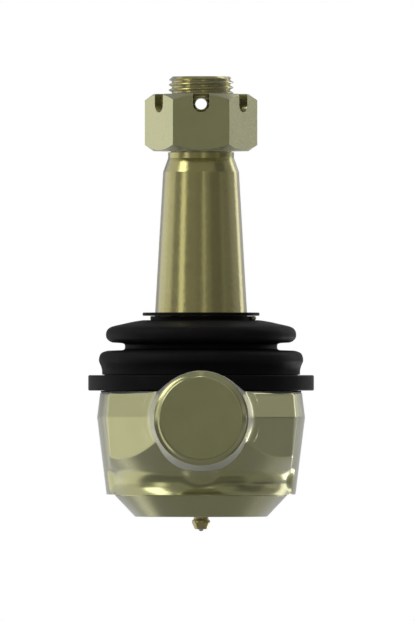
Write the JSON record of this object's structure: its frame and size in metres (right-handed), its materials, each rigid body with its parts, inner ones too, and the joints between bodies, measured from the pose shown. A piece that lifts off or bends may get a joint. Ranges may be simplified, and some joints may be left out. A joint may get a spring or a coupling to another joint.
{
  "type": "tie rod end",
  "caption": "Heavy tie rod end: greaseable ball joint with a tapered stud, castle nut, folded rubber boot and a straight threaded shank.",
  "frame": {"origin": "on the shank's axis at its first full thread, 2.4 mm in from the end face; the ball's centre is at y = 0.150 m", "axes": "+Z along the stud towards its threaded end, -Y along the shank towards its free end, +X completes a right-handed frame; the picture looks along +Y"},
  "size_m": [0.0772, 0.191, 0.1557],
  "materials": {
    "plated_forging": "forged steel with a satin yellow-olive zinc plating",
    "bearing_resin": "moulded acetal",
    "spring_steel": "oiled spring steel",
    "plated_plate": "pressed steel with a satin yellow-olive zinc plating",
    "plated_fitting": "machined steel with a yellow-olive zinc plating",
    "ball_steel": "polished bearing steel",
    "blackened_steel": "black coated steel",
    "boot_rubber": "moulded black rubber",
    "plated_wire": "drawn wire with a yellow-olive zinc plating",
    "plated_stud": "turned steel with a satin yellow-olive zinc plating",
    "plated_nut": "cold formed steel with a yellow-olive zinc plating"
  },
  "bodies": {
    "socket": {"socket_housing": "plated_forging", "upper_bearing": "bearing_resin", "lower_seat": "bearing_resin", "preload_spring": "spring_steel", "cover_plate": "plated_plate", "grease_fitting": "plated_fitting", "grease_fitting_spring": "spring_steel", "boot_clamp_ring": "blackened_steel"},
    "check_ball": {"grease_fitting_ball": "ball_steel"},
    "boot": {"dust_boot": "boot_rubber"},
    "boot_collar": {"boot_top_washer": "blackened_steel", "boot_wire_ring": "plated_wire"},
    "stud": {"ball_stud": "plated_stud"},
    "nut": {"castle_nut": "plated_nut"}
  },
  "joints": [
    {"name": "swing_direction", "type": "hinge", "parent": "socket", "child": "boot", "pos_m": [0, 0.15, 0], "axis": [0, 0, 1], "continuous": true},
    {"name": "stud_tilt", "type": "hinge", "parent": "boot", "child": "boot_collar", "pos_m": [0, 0.15, 0], "axis": [1, 0, 0], "range_deg": [-22, 22], "deforming": ["dust_boot"]},
    {"name": "stud_spin", "type": "hinge", "parent": "boot_collar", "child": "stud", "pos_m": [0, 0.15, 0], "axis": [0, 0, 1], "continuous": true},
    {"name": "nut_unscrew", "type": "slide", "parent": "stud", "child": "nut", "axis": [0, 0, 1], "range_m": [0, 0.0272]},
    {"name": "check_ball_press", "type": "slide", "parent": "socket", "child": "check_ball", "axis": [0, 0, 1], "range_m": [0, 0.0008], "stiffness_N_per_m": 400, "springref_m": -0.0004, "deforming": ["grease_fitting_spring"]}
  ]
}
